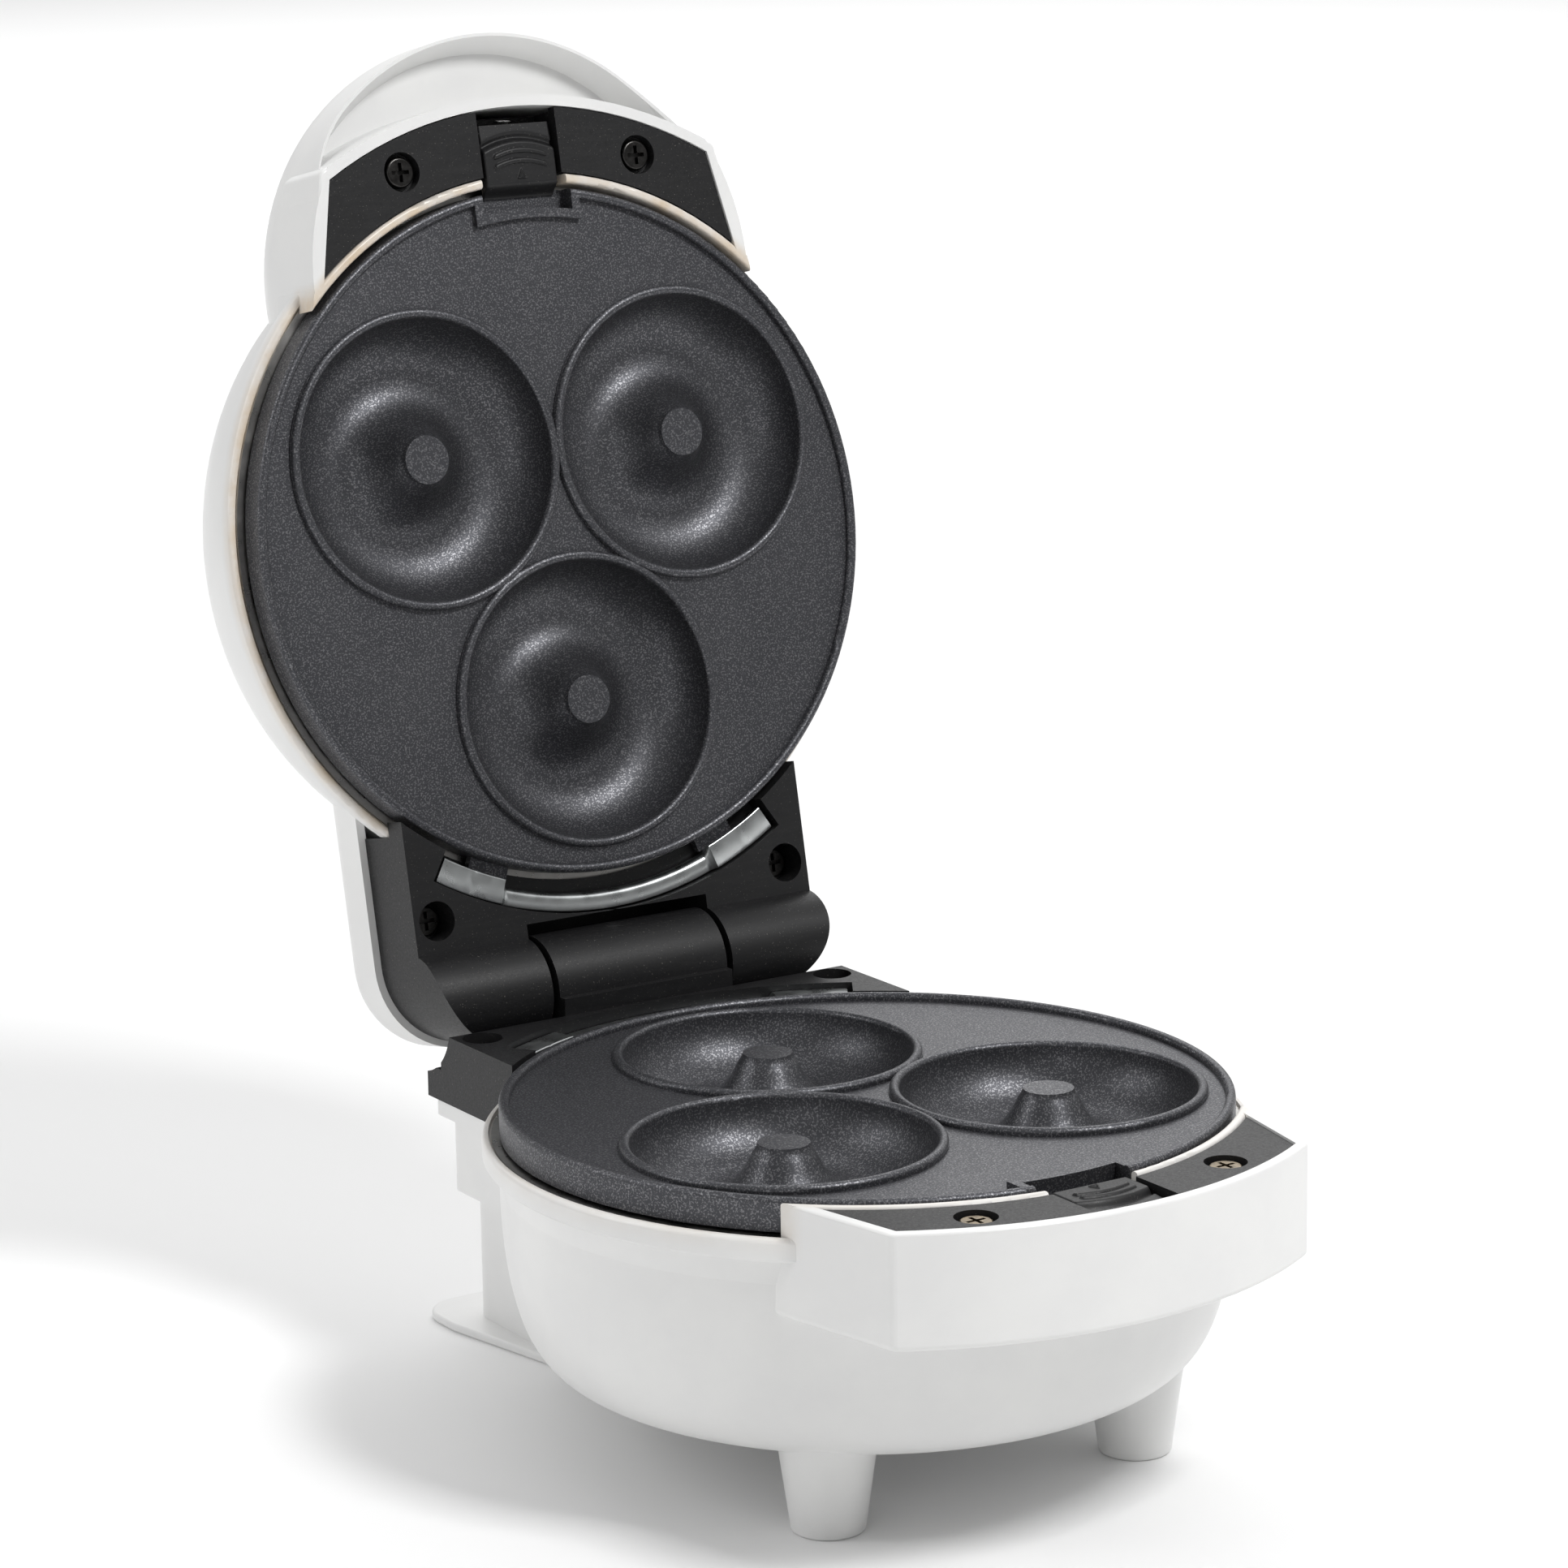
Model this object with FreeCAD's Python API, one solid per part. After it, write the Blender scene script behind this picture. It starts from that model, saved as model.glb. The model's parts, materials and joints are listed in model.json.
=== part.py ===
"""Donut maker: a round two-plate electric appliance, hinged at the back and shown open.

Everything is modelled about the axis of the lower baking plate: X to the right, Y to the
rear, Z up, with Z = 0 at the rim of the lower plate.  The lid is modelled closed, where its
plate rim meets the lower one, and then turned open about the hinge axis.  At the end all
pieces are moved so that the origin is at the bottom centre of the open appliance.
"""
import FreeCAD, Part
import math
import os

V = FreeCAD.Vector
X_AXIS = V(1, 0, 0)
Y_AXIS = V(0, 1, 0)
Z_AXIS = V(0, 0, 1)

# ---- driving dimensions, millimetres and degrees -----------------------------------------
OPEN_ANGLE = 101.6
HINGE_Y = 113.3
HINGE_Z = 3.9
FLOOR_Z = -85.3
MIDDLE_Y = 42.965
FACE = 0.4

PLATE_R = 87.0
PLATE_WALL = 7.9
WEB_Z = 1.9
CAST = 2.5
BEAD = 1.2
WELL_RING = 43.2
WELL_ANGLES = (90, 210, 330)
WELL_R = 36.6
WELL_ARC = 14.0
WELL_ARC_X = 21.4
BOSS_FLARE = ((16.6, -14.3), (13.0, -11.9), (10.4, -9.0), (8.5, -6.0), (7.0, -3.2), (6.1, -1.2))
NOTCH_X = 12.9
NOTCH_R = 81.8
SHELF_Z = 5.0
LUG_ANGLES = (68, 112)
LUG_HALF = 3.6

PAN_RIM_R = 88.9
PAN_WALL_R = 84.9
PAN_FLOOR_R = 78.0
PAN_TOP = 8.6
PAN_DEPTH = 30.0
SHEET = 0.8

ELEMENT_RING = 58.0
ELEMENT_R = 3.2
ELEMENT_Z = 21.3
ELEMENT_GAP = 14.0
PIN_TIP = 42.0

LIP_R = 91.2
LIP_IN_R = 89.6
LIP_TOP = 8.2
LIP_BOTTOM = 13.8
LEDGE_Z = 9.5
WALL = 2.3
BODY_R = 88.5
SHOULDER_R = 87.3
SHOULDER_Z = 20.0
BOWL_DEPTH = 66.5
BOWL_FULLNESS = 13.4
DOME_TOP = 53.0
DOME_FULLNESS = 9.8
PROFILE_STEPS = (1.0, 0.998, 0.99, 0.975, 0.955, 0.93, 0.9, 0.86, 0.8, 0.7, 0.55, 0.3, 0.0)

BORDER_R = 110.5
BORDER_X = 57.3
BORDER_Y = -94.5
BORDER_SIDE_X = 63.0
BORDER_SIDE_Y = -66.5
BORDER_WALL = 2.7
STRIP_IN_R = 88.4
STRIP_OUT_R = 90.7
STRIP_END_X = 12.2
STRIP_EDGE = 0.9
HANDLE_CORNER = 2.6
HANDLE_LOWER_EDGE = 1.6
HANDLE_UPPER_EDGE = 0.7
HANDLE_DEPTH = 27.3

VISOR_R = 63.0
VISOR_Y = -65.0
VISOR_IN_R = 58.7
VISOR_EDGE_Z = 12.2
SCOOP_Z = 20.5
VISOR_TOP = 40.0

INSERT_GAP = 0.5
INSERT_THICK = 3.0
CHANNEL_X = 11.4
RAIL_DEPTH = 12.6
INSERT_SCREW_X = 34.3
INSERT_SCREW_Y = -93.3
HEAD_HOLE_R = 5.0

LATCH_X = 10.4
LATCH_OUT_Y = -103.6
LATCH_TIP_Y = -84.9

BLOCK_X = 58.2
BLOCK_FRONT_R = 88.6
BLOCK_REAR_Y = 109.5
BLOCK_DEPTH = 17.9
BARREL_R = 12.9
BARREL_X = 24.8
KNUCKLE_X = 25.5
TROUGH_R = 16.0
LEDGE_DROP = 9.8
PIN_R = 2.5
PIN_X = 43.5
RUNNING = 0.06
HINGE_SCREW_X = 51.7
HINGE_SCREW_Y = 92.6

COVER_REAR_Y = 125.6
COVER_CORNER = 22.0
COVER_DEPTH = 21.0
SLOT_Y = 97.2
SLOT_X = 26.6
REAR_X = 60.0
REAR_Y = 127.0
REAR_TOP = 38.0

BRACKET_HALF = 31.0
BRACKET_STEP = 19.0
BRACKET_IN_R = 92.0
BRACKET_OUT_R = 96.8

HOUSING_REAR_Y = 107.4
HOUSING_BOTTOM = 41.0
COLUMN_X = 38.6
COLUMN_Y = 126.6
COLUMN_FRONT_Y = 72.0
FLANGE_TOP = 83.0

FOOT_X = 43.6
FOOT_Y = -47.5
FOOT_R = 8.6
FOOT_TOP_R = 12.2

BOSS_SCREW_R = 34.0
BOSS_SCREW_ANGLES = (30, 150, 270)
GLAND_Z = -66.0
LAMP_X = 9.0
LAMP_Y = -34.0


# ---- small helpers -----------------------------------------------------------------------
def box(x0, x1, y0, y1, z0, z1):
    return Part.makeBox(x1 - x0, y1 - y0, z1 - z0, V(x0, y0, z0))


def rod(radius, start, end):
    span = end - start
    return Part.makeCylinder(radius, span.Length, start, span)


def disc(radius, z0, z1, x=0.0, y=0.0):
    return Part.makeCylinder(radius, z1 - z0, V(x, y, z0), Z_AXIS)


def ring(inner, outer, z0, z1, x=0.0, y=0.0):
    return disc(outer, z0, z1, x, y).cut(disc(inner, z0 - 1, z1 + 1, x, y))


def line(a, b):
    return Part.LineSegment(a, b).toShape()


def arc(a, middle, b):
    return Part.Arc(a, middle, b).toShape()


def turned(edges, x=0.0, y=0.0):
    """A closed outline in the XZ plane, revolved about a vertical axis at x, y."""
    solid = Part.Face(Part.Wire(edges)).revolve(V(0, 0, 0), Z_AXIS, 360)
    solid.translate(V(x, y, 0))
    return solid


def turned_polygon(points, x=0.0, y=0.0):
    corners = [V(r, 0, z) for r, z in points]
    wire = Part.makePolygon(corners + [corners[0]])
    solid = Part.Face(wire).revolve(V(0, 0, 0), Z_AXIS, 360)
    solid.translate(V(x, y, 0))
    return solid


def prism(points, z0, z1):
    corners = [V(x, y, z0) for x, y in points]
    wire = Part.makePolygon(corners + [corners[0]])
    return Part.Face(wire).extrude(V(0, 0, z1 - z0))


def wedge(angle0, angle1, z0, z1, reach=160.0):
    """A slice of the circle between two angles about the plate axis."""
    a, b = math.radians(angle0), math.radians(angle1)
    middle = (a + b) / 2
    points = [(0, 0), (reach * math.cos(a), reach * math.sin(a))]
    points.append((1.3 * reach * math.cos(middle), 1.3 * reach * math.sin(middle)))
    points.append((reach * math.cos(b), reach * math.sin(b)))
    return prism(points, z0, z1)


def ring_piece(inner, outer, angle0, angle1, z0, z1):
    return ring(inner, outer, z0, z1).common(wedge(angle0, angle1, z0 - 1, z1 + 1))


def joined(shapes):
    solid = shapes[0].fuse(list(shapes[1:]))
    return solid.removeSplitter()


def pipe(points, radius):
    """A bent wire: straight runs with a slightly larger ball at each corner."""
    parts = []
    for a, b in zip(points, points[1:]):
        parts.append(rod(radius, a, b))
    for corner in points[1:-1]:
        parts.append(Part.makeSphere(1.05 * radius, corner))
    return joined(parts)


def flipped(shape):
    """The same piece for the lid: turned upside down about the front-to-rear axis."""
    copy = shape.copy()
    copy.rotate(V(0, 0, 0), Y_AXIS, 180)
    return copy


def polar(radius, angle, z):
    a = math.radians(angle)
    return V(radius * math.cos(a), radius * math.sin(a), z)


def screw(x, y, head_z, length, head_r=3.9, shank_r=1.75, head_h=2.4):
    """A pan-head screw pointing down, with a cross recess; head_z is the top of its head."""
    head = disc(head_r, head_z - head_h, head_z, x, y)
    head = head.makeFillet(0.7, [head.Edges[0]])
    slot = box(x - 2.4, x + 2.4, y - 0.5, y + 0.5, head_z - 1.4, head_z + 1)
    cross = box(x - 0.5, x + 0.5, y - 2.4, y + 2.4, head_z - 1.4, head_z + 1)
    shank = disc(shank_r, head_z - head_h - length, head_z - head_h + 0.2, x, y)
    return head.fuse(shank).cut(slot).cut(cross)


# ---- baking plate ------------------------------------------------------------------------
def well_center(angle):
    point = polar(WELL_RING, angle, 0)
    return point.x, point.y


def well_cavity(x, y):
    """The hollow for half a donut, around its flared centre boss."""
    wall_x = WELL_ARC_X + WELL_ARC
    bottom = -BEAD - WELL_ARC
    diagonal = math.sqrt(0.5)
    outer_mid = V(WELL_ARC_X + WELL_ARC * diagonal, 0, -BEAD - WELL_ARC * diagonal)
    flare = Part.BSplineCurve()
    points = [V(WELL_ARC_X, 0, bottom)]
    for r, z in BOSS_FLARE:
        points.append(V(r, 0, z))
    flare.interpolate(points, InitialTangent=V(-1, 0, 0), FinalTangent=V(-0.2, 0, 1))
    boss_x, boss_z = BOSS_FLARE[-1]
    round_mid = V(boss_x - 0.25, 0, boss_z + 0.55)
    edges = [
        line(V(0, 0, 1), V(wall_x, 0, 1)),
        line(V(wall_x, 0, 1), V(wall_x, 0, -BEAD)),
        arc(V(wall_x, 0, -BEAD), outer_mid, V(WELL_ARC_X, 0, bottom)),
        flare.toShape(),
        arc(V(boss_x, 0, boss_z), round_mid, V(boss_x - 0.8, 0, -FACE)),
        line(V(boss_x - 0.8, 0, -FACE), V(0, 0, -FACE)),
        line(V(0, 0, -FACE), V(0, 0, 1)),
    ]
    return turned(edges, x, y)


def well_underside(x, y):
    """The cast bulge below a well, with a hollow under the boss."""
    bottom = -BEAD - WELL_ARC - CAST
    outer_r = WELL_ARC + CAST
    diagonal = math.sqrt(0.5)
    inner_c = 17.0
    start_x = WELL_ARC_X + outer_r
    mid = V(WELL_ARC_X + outer_r * diagonal, 0, -BEAD - outer_r * diagonal)
    hollow_x = 6.0
    hollow_z = -11.0
    edges = [
        line(V(0, 0, -BEAD), V(start_x, 0, -BEAD)),
        arc(V(start_x, 0, -BEAD), mid, V(WELL_ARC_X, 0, bottom)),
        line(V(WELL_ARC_X, 0, bottom), V(inner_c, 0, bottom)),
        line(V(inner_c, 0, bottom), V(hollow_x, 0, hollow_z)),
        line(V(hollow_x, 0, hollow_z), V(0, 0, hollow_z)),
        line(V(0, 0, hollow_z), V(0, 0, -BEAD)),
    ]
    return turned(edges, x, y)


def bead_ring(crest_r, x=0.0, y=0.0):
    """A rounded bead standing on the web, its crest at Z = 0."""
    edges = [
        line(V(crest_r - BEAD, 0, -WEB_Z - 1), V(crest_r - BEAD, 0, -BEAD)),
        arc(V(crest_r - BEAD, 0, -BEAD), V(crest_r, 0, 0), V(crest_r + BEAD, 0, -BEAD)),
        line(V(crest_r + BEAD, 0, -BEAD), V(crest_r + BEAD, 0, -WEB_Z - 1)),
        line(V(crest_r + BEAD, 0, -WEB_Z - 1), V(crest_r - BEAD, 0, -WEB_Z - 1)),
    ]
    return turned(edges, x, y)


def make_plate():
    rim_crest = PLATE_R - BEAD
    plate = disc(PLATE_R, -PLATE_WALL, -WEB_Z).cut(disc(PLATE_R - CAST, -PLATE_WALL - 1, -WEB_Z - CAST))
    pieces = [plate, bead_ring(rim_crest)]
    for angle in WELL_ANGLES:
        x, y = well_center(angle)
        pieces.append(bead_ring(WELL_R, x, y))
        pieces.append(well_underside(x, y))
    notch_wall = box(-NOTCH_X - 2.3, NOTCH_X + 2.3, -PLATE_R, -60, -PLATE_WALL, -0.3)
    notch_wall = notch_wall.common(ring(NOTCH_R - 2.3, PLATE_R - 0.2, -PLATE_WALL, 0))
    pieces.append(notch_wall)
    plate = joined(pieces)
    for angle in WELL_ANGLES:
        x, y = well_center(angle)
        plate = plate.cut(well_cavity(x, y))
    notch = box(-NOTCH_X, NOTCH_X, -PLATE_R - 5, -60, -SHELF_Z, 1)
    plate = plate.cut(notch.cut(disc(NOTCH_R, -20, 5)))
    for angle in LUG_ANGLES:
        lug = ring_piece(PLATE_R - 1.2, 91.2, angle - LUG_HALF, angle + LUG_HALF, -6.9, -4.7)
        plate = plate.fuse(lug)
    return plate.removeSplitter()


# ---- reflector pan, heating element and clips ------------------------------------------
def make_reflector():
    floor = PAN_DEPTH
    profile = [
        (PAN_RIM_R, -PAN_TOP - SHEET), (PAN_RIM_R, -PAN_TOP), (PAN_WALL_R, -PAN_TOP),
        (PAN_FLOOR_R, -floor), (0, -floor), (0, -floor - SHEET),
        (PAN_FLOOR_R + SHEET, -floor - SHEET), (PAN_WALL_R + SHEET, -PAN_TOP - SHEET),
    ]
    pan = turned_polygon(profile)
    leg_x = ELEMENT_GAP
    leg_y = math.sqrt(ELEMENT_RING ** 2 - leg_x ** 2)
    for side in (-1, 1):
        pan = pan.cut(disc(ELEMENT_R + 0.8, -floor - 3, -floor + 3, side * leg_x, leg_y))
    for angle in BOSS_SCREW_ANGLES:
        point = polar(BOSS_SCREW_R, angle, 0)
        pan = pan.cut(disc(1.9, -floor - 3, -floor + 3, point.x, point.y))
    return pan


def make_element():
    """A sheathed tube bent to an open ring, with both ends turned down through the pan."""
    gap = math.degrees(math.asin(ELEMENT_GAP / ELEMENT_RING))
    section = Part.Wire(Part.makeCircle(ELEMENT_R, V(ELEMENT_RING, 0, -ELEMENT_Z), Y_AXIS))
    tube = Part.Face(section).revolve(V(0, 0, 0), Z_AXIS, 360 - 2 * gap)
    tube.rotate(V(0, 0, 0), Z_AXIS, 90 + gap)
    parts = [tube]
    leg_y = math.sqrt(ELEMENT_RING ** 2 - ELEMENT_GAP ** 2)
    for side in (-1, 1):
        top = V(side * ELEMENT_GAP, leg_y, -ELEMENT_Z)
        bottom = V(side * ELEMENT_GAP, leg_y, -PAN_DEPTH - 7)
        tip = V(side * ELEMENT_GAP, leg_y, -PIN_TIP)
        parts.append(Part.makeSphere(ELEMENT_R, top))
        parts.append(rod(ELEMENT_R, top, bottom))
        parts.append(rod(1.5, bottom, tip))
    return joined(parts)


def make_element_clips():
    clips = []
    for angle in (0, 180, 270):
        post = box(ELEMENT_RING - 4.6, ELEMENT_RING + 4.6, -3.5, 3.5, -PAN_DEPTH, -ELEMENT_Z - 0.4)
        groove = Part.makeCylinder(ELEMENT_R + 0.15, 12, V(ELEMENT_RING, -6, -ELEMENT_Z), Y_AXIS)
        post = post.cut(groove)
        post.rotate(V(0, 0, 0), Z_AXIS, angle)
        clips.append(post)
    tube = make_element()
    return [clip.cut(tube) for clip in clips]


def make_reflector_screws():
    screws = []
    for angle in BOSS_SCREW_ANGLES:
        point = polar(BOSS_SCREW_R, angle, 0)
        screws.append(screw(point.x, point.y, -PAN_DEPTH + 2.0, 9, 3.2, 1.5, 2.0))
    return screws


# ---- front handle: the pocket, its black insert, the latch and the spring ----------------
def border_prism(shrink, z0, z1):
    """The handle outline seen from above, drawn in by an amount all round."""
    outer = disc(BORDER_R - shrink, z0, z1)
    x0 = BORDER_X - shrink
    x1 = BORDER_SIDE_X - shrink
    sides = prism([(-x0, -130), (x0, -130), (x0, BORDER_Y), (x1, BORDER_SIDE_Y), (x1 + 2, -55),
                   (-x1 - 2, -55), (-x1, BORDER_SIDE_Y), (-x0, BORDER_Y)], z0, z1)
    return outer.common(sides)


def handle_block(z0):
    """The whole front handle before it is hollowed, with its outer edges rounded."""
    solid = border_prism(0, z0, -FACE)
    upright = []
    for edge in solid.Edges:
        bounds = edge.BoundBox
        if bounds.ZLength > 0.9 * (-FACE - z0) and bounds.YMax < BORDER_Y + 2:
            upright.append(edge)
    solid = solid.makeFillet(HANDLE_CORNER, upright)
    lower = [edge for edge in solid.Edges if edge.BoundBox.ZMax < z0 + 0.05 and edge.BoundBox.YMin < -70]
    upper = [edge for edge in solid.Edges if edge.BoundBox.ZMin > -FACE - 0.05 and edge.BoundBox.YMin < -70]
    solid = solid.makeFillet(HANDLE_LOWER_EDGE, lower)
    return solid.makeFillet(HANDLE_UPPER_EDGE, upper)


def pocket_prism(shrink, z0, z1):
    """The pocket between the strip beside the plate and the handle's outer wall."""
    inner = STRIP_OUT_R + shrink
    area = border_prism(BORDER_WALL + shrink, z0, z1)
    return area.cut(disc(inner, z0 - 1, z1 + 1))


def make_insert():
    top = -FACE - INSERT_GAP
    plate = pocket_prism(0.3, top - INSERT_THICK, top)
    rails = box(-CHANNEL_X - 2, CHANNEL_X + 2, -106, -92, top - RAIL_DEPTH, top - 0.5)
    insert = plate.fuse(rails)
    channel = box(-CHANNEL_X, CHANNEL_X, -120, -80, top - RAIL_DEPTH + 2, 5)
    insert = insert.cut(channel)
    for side in (-1, 1):
        x, y = side * INSERT_SCREW_X, INSERT_SCREW_Y
        cup = disc(HEAD_HOLE_R + 1.6, top - 5.0, top, x, y)
        insert = insert.fuse(cup)
        insert = insert.cut(disc(HEAD_HOLE_R, top - 3.2, 5, x, y))
        insert = insert.cut(disc(1.95, -20, 5, x, y))
    return insert.removeSplitter()


def make_insert_screws():
    head_top = -FACE - INSERT_GAP - 0.8
    return [screw(side * INSERT_SCREW_X, INSERT_SCREW_Y, head_top, 9) for side in (-1, 1)]


def make_latch():
    """The plate-release slider: a thumb pad, a nose over the plate's shelf and a spring leg."""
    top = -FACE - 0.8
    pad = box(-LATCH_X, LATCH_X, -97.5, -89.0, top - 4.2, top)
    ramp = box(-LATCH_X, LATCH_X, LATCH_OUT_Y, -97.5, top - 4.2, top - 1.6)
    nose_edge = box(-LATCH_X, LATCH_X, -89.0, LATCH_TIP_Y, -SHELF_Z + 0.4, top - 0.4)
    nose_round = disc(BLOCK_FRONT_R + 20, -10, 5, 0, 0)
    nose = nose_edge.common(nose_round)
    leg = box(-4, 4, -96.5, -94.0, top - 8.6, top - 4)
    latch = joined([pad, ramp, nose, leg])
    for index in range(2):
        y = -95.6 + index * 2.4
        rib = box(-7.4, 7.4, y, y + 0.9, top - 0.1, top + 0.35)
        latch = latch.fuse(rib)
    return latch.removeSplitter()


def make_latch_spring():
    """A compression spring between the latch's leg and the outer wall of the handle."""
    top = -FACE - 0.8
    turns = []
    start = -105.6
    for index in range(6):
        y = start + 0.8 + index * 1.55
        turns.append(Part.makeTorus(2.2, 0.35, V(0, y, top - 7.0), Y_AXIS))
    return turns


# ---- plate bracket: a bent strip over the plate's two rear lugs --------------------------
def make_bracket():
    low = 90 - BRACKET_HALF
    high = 90 + BRACKET_HALF
    step_low = 90 - BRACKET_STEP
    step_high = 90 + BRACKET_STEP
    flat = ring_piece(BRACKET_IN_R, BRACKET_OUT_R, step_low, step_high, -4.2, -3.2)
    flange = ring_piece(BRACKET_IN_R, BRACKET_IN_R + 1.0, step_low, step_high, -4.2, -1.8)
    ends = []
    for a, b in ((low, step_low), (step_high, high)):
        ends.append(ring_piece(90.0, BRACKET_OUT_R, a, b, -3.4, -2.4))
    legs = []
    for angle in (80, 100):
        legs.append(ring_piece(94.0, 95.0, angle - 3, angle + 3, -14.0, -3.6))
    return joined([flat, flange] + ends + legs)


# ---- base: hinge block with the middle barrel --------------------------------------------
def hinge_rod(radius, x0, x1):
    return rod(radius, V(x0, HINGE_Y, HINGE_Z), V(x1, HINGE_Y, HINGE_Z))


def block_recesses(solid):
    """Room for the plate, the shell's lip and the bracket, from a block facing up."""
    solid = solid.cut(disc(BLOCK_FRONT_R, -PAN_TOP + 0.8, 5))
    solid = solid.cut(disc(LIP_R + 0.4, -60, -PAN_TOP + 0.9))
    seat = ring_piece(80, BRACKET_OUT_R + 0.4, 90 - BRACKET_HALF - 0.8, 90 + BRACKET_HALF + 0.8, -7.6, 5)
    solid = solid.cut(seat)
    for angle in (80, 100):
        solid = solid.cut(ring_piece(93.7, 95.3, angle - 3.4, angle + 3.4, -14.4, 0))
    return solid


def make_hinge_block():
    top = -FACE
    block = box(-BLOCK_X, BLOCK_X, 60, BLOCK_REAR_Y, -BLOCK_DEPTH, top)
    for edge_x in (-1, 1):
        block = block.cut(hinge_rod(TROUGH_R, edge_x * BARREL_X, edge_x * (BLOCK_X + 5)))
        block = block.cut(box(min(edge_x * BARREL_X, edge_x * 70), max(edge_x * BARREL_X, edge_x * 70),
                              102.5, 140, -LEDGE_DROP, 20))
    web = box(-BARREL_X, BARREL_X, 98, 121, -BLOCK_DEPTH, HINGE_Z)
    block = joined([block, web, hinge_rod(BARREL_R, -BARREL_X, BARREL_X)])
    block = block.cut(hinge_rod(PIN_R, -70, 70))
    hollow = box(-44, 44, 94.5, 100, -BLOCK_DEPTH - 1, -7)
    block = block.cut(hollow.cut(ring_piece(92.5, 96.5, 74, 106, -30, 0)))
    block = block_recesses(block)
    for side in (-1, 1):
        x = side * HINGE_SCREW_X
        block = block.cut(disc(HEAD_HOLE_R, -9, 5, x, HINGE_SCREW_Y))
        block = block.cut(disc(1.95, -30, 0, x, HINGE_SCREW_Y))
    return block.removeSplitter()


def make_hinge_screws():
    return [screw(side * HINGE_SCREW_X, HINGE_SCREW_Y, -6.4, 18) for side in (-1, 1)]


# ---- shells ------------------------------------------------------------------------------
def shell_profile(depth, fullness, inset):
    """Half outline of the round shell, from the shoulder below its lip to the bottom centre."""
    wall_r = SHOULDER_R - inset
    rise = depth - inset - SHOULDER_Z
    points = []
    for share in PROFILE_STEPS:
        drop = rise * math.sqrt(1 - share ** fullness)
        points.append(V(wall_r * share, 0, -SHOULDER_Z - drop))
    spline = Part.BSplineCurve()
    spline.interpolate(points, InitialTangent=V(0, 0, -1), FinalTangent=V(-1, 0, 0))
    top = -LIP_BOTTOM
    return [
        line(V(0, 0, top), V(BODY_R - inset, 0, top)),
        line(V(BODY_R - inset, 0, top), points[0]),
        spline.toShape(),
        line(points[-1], V(0, 0, top)),
    ]


def shell_lip():
    """The raised lip round the mouth, rounded on its outer edge."""
    edge = 1.4
    diagonal = edge * (1 - math.sqrt(0.5))
    top = -LIP_TOP
    edges = [
        line(V(BODY_R - WALL, 0, -LIP_BOTTOM - 0.4), V(BODY_R - WALL, 0, -LEDGE_Z)),
        line(V(BODY_R - WALL, 0, -LEDGE_Z), V(LIP_IN_R, 0, -LEDGE_Z)),
        line(V(LIP_IN_R, 0, -LEDGE_Z), V(LIP_IN_R, 0, top)),
        line(V(LIP_IN_R, 0, top), V(LIP_R - edge, 0, top)),
        arc(V(LIP_R - edge, 0, top), V(LIP_R - diagonal, 0, top - diagonal), V(LIP_R, 0, top - edge)),
        line(V(LIP_R, 0, top - edge), V(LIP_R, 0, -LIP_BOTTOM + 0.8)),
        line(V(LIP_R, 0, -LIP_BOTTOM + 0.8), V(LIP_R - 0.8, 0, -LIP_BOTTOM)),
        line(V(LIP_R - 0.8, 0, -LIP_BOTTOM), V(BODY_R - 0.2, 0, -LIP_BOTTOM - 0.4)),
        line(V(BODY_R - 0.2, 0, -LIP_BOTTOM - 0.4), V(BODY_R - WALL, 0, -LIP_BOTTOM - 0.4)),
    ]
    return turned(edges)


def plan_outline(half_x, front_y, rear_y, corner, z0, z1):
    """A block seen from above with its two rear corners rounded."""
    solid = box(-half_x, half_x, front_y, rear_y, z0, z1)
    edges = []
    for edge in solid.Edges:
        box_ = edge.BoundBox
        upright = box_.ZLength > 0.9 * (z1 - z0) and box_.XLength < 0.01 and box_.YLength < 0.01
        if upright and box_.YMin > rear_y - 1:
            edges.append(edge)
    return solid.makeFillet(corner, edges)


def strip_guard(z0, z1):
    """The two narrow strips that stand between the plate and the handle's insert."""
    strip = ring(STRIP_IN_R, STRIP_OUT_R, z0, z1).common(border_prism(0, z0, z1))
    return strip.cut(box(-STRIP_END_X, STRIP_END_X, -130, -60, z0 - 1, z1 + 1))


def corner_waste(radius, toward):
    """What rounding takes off a strip's top edge: toward is 1 for its inner edge, -1 for its outer."""
    top = -FACE
    inside = radius + toward * STRIP_EDGE
    diagonal = STRIP_EDGE * (1 - math.sqrt(0.5))
    clear = 0.3
    foot = V(radius, 0, top - STRIP_EDGE)
    crest = V(inside, 0, top)
    outside = radius - toward * clear
    return turned([
        line(V(outside, 0, top - STRIP_EDGE), foot),
        arc(foot, V(radius + toward * diagonal, 0, top - diagonal), crest),
        line(crest, V(inside, 0, top + clear)),
        line(V(inside, 0, top + clear), V(outside, 0, top + clear)),
        line(V(outside, 0, top + clear), V(outside, 0, top - STRIP_EDGE)),
    ])


def round_strips(shell):
    """Round the top edges of the strips beside the plate."""
    shell = shell.cut(corner_waste(STRIP_IN_R, 1).common(border_prism(0, -LIP_TOP, 1)))
    return shell.cut(corner_waste(STRIP_OUT_R, -1).common(border_prism(BORDER_WALL, -LIP_TOP, 1)))


def screw_posts(bottom_z, inner_solid):
    posts = []
    for angle in BOSS_SCREW_ANGLES:
        point = polar(BOSS_SCREW_R, angle, 0)
        post = disc(4.2, bottom_z, -PAN_DEPTH - SHEET, point.x, point.y)
        posts.append(post.common(inner_solid))
    return posts


def drill_posts(solid):
    for angle in BOSS_SCREW_ANGLES:
        point = polar(BOSS_SCREW_R, angle, 0)
        solid = solid.cut(disc(1.5, -PAN_DEPTH - 12, -PAN_DEPTH, point.x, point.y))
    return solid


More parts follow.
